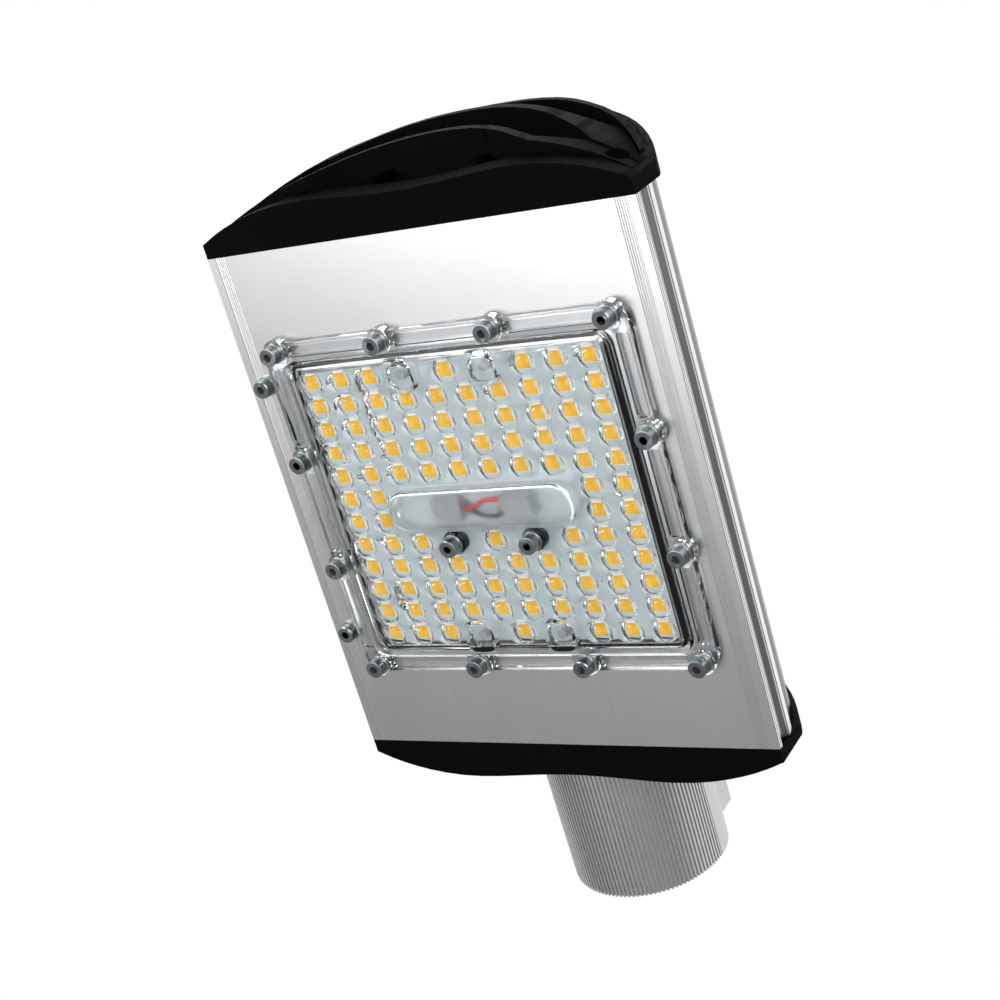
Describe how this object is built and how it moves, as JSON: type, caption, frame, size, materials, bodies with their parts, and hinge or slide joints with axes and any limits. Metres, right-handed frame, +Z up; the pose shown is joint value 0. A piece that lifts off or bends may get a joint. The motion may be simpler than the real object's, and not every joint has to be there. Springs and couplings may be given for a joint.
{
  "type": "led street light",
  "caption": "Pole-mounted LED street light: finned aluminium body, black louvred end caps, clear screwed lens plate over the LED board, and a ribbed rear spigot.",
  "frame": {"origin": "centre of the spigot bore's mouth", "axes": "+Z up, +Y out of the spigot bore's mouth (towards the pole), light shines towards -Z"},
  "size_m": [0.18, 0.3088, 0.093],
  "materials": {
    "body_aluminium": "satin",
    "spigot_aluminium": "satin",
    "cap_plastic": "matte",
    "lens_clear": "gloss",
    "board_white": "satin",
    "led_phosphor": "satin",
    "screw_steel": "satin",
    "seal_rubber": "matte",
    "fitting_plastic": "matte",
    "connector_grey": "matte",
    "bulkhead_aluminium": "satin",
    "driver_case": "satin",
    "terminal_beige": "matte",
    "earth_brass": "satin"
  },
  "bodies": {
    "root": {"housing": "body_aluminium", "front_cap": "cap_plastic", "rear_cap": "cap_plastic", "front_seal": "seal_rubber", "front_bulkhead": "bulkhead_aluminium", "front_bulkhead_screws": "screw_steel", "breather": "fitting_plastic", "rear_seal": "seal_rubber", "rear_bulkhead": "bulkhead_aluminium", "cable_gland": "fitting_plastic", "spigot": "spigot_aluminium", "spigot_screws": "screw_steel", "clamp_screws": "screw_steel", "front_cap_screws": "screw_steel", "rear_cap_screws": "screw_steel", "led_board": "board_white", "led_packages": "led_phosphor", "board_connectors": "connector_grey", "lens_plate": "lens_clear", "lens_gasket": "seal_rubber", "lens_screws": "screw_steel", "lens_washers": "screw_steel", "centre_screws": "screw_steel", "centre_washers": "screw_steel", "edge_screws": "screw_steel", "edge_washers": "screw_steel", "driver": "driver_case", "driver_bracket": "bulkhead_aluminium", "driver_screws": "screw_steel", "terminal_block": "terminal_beige", "earth_screw": "earth_brass"}
  },
  "joints": []
}
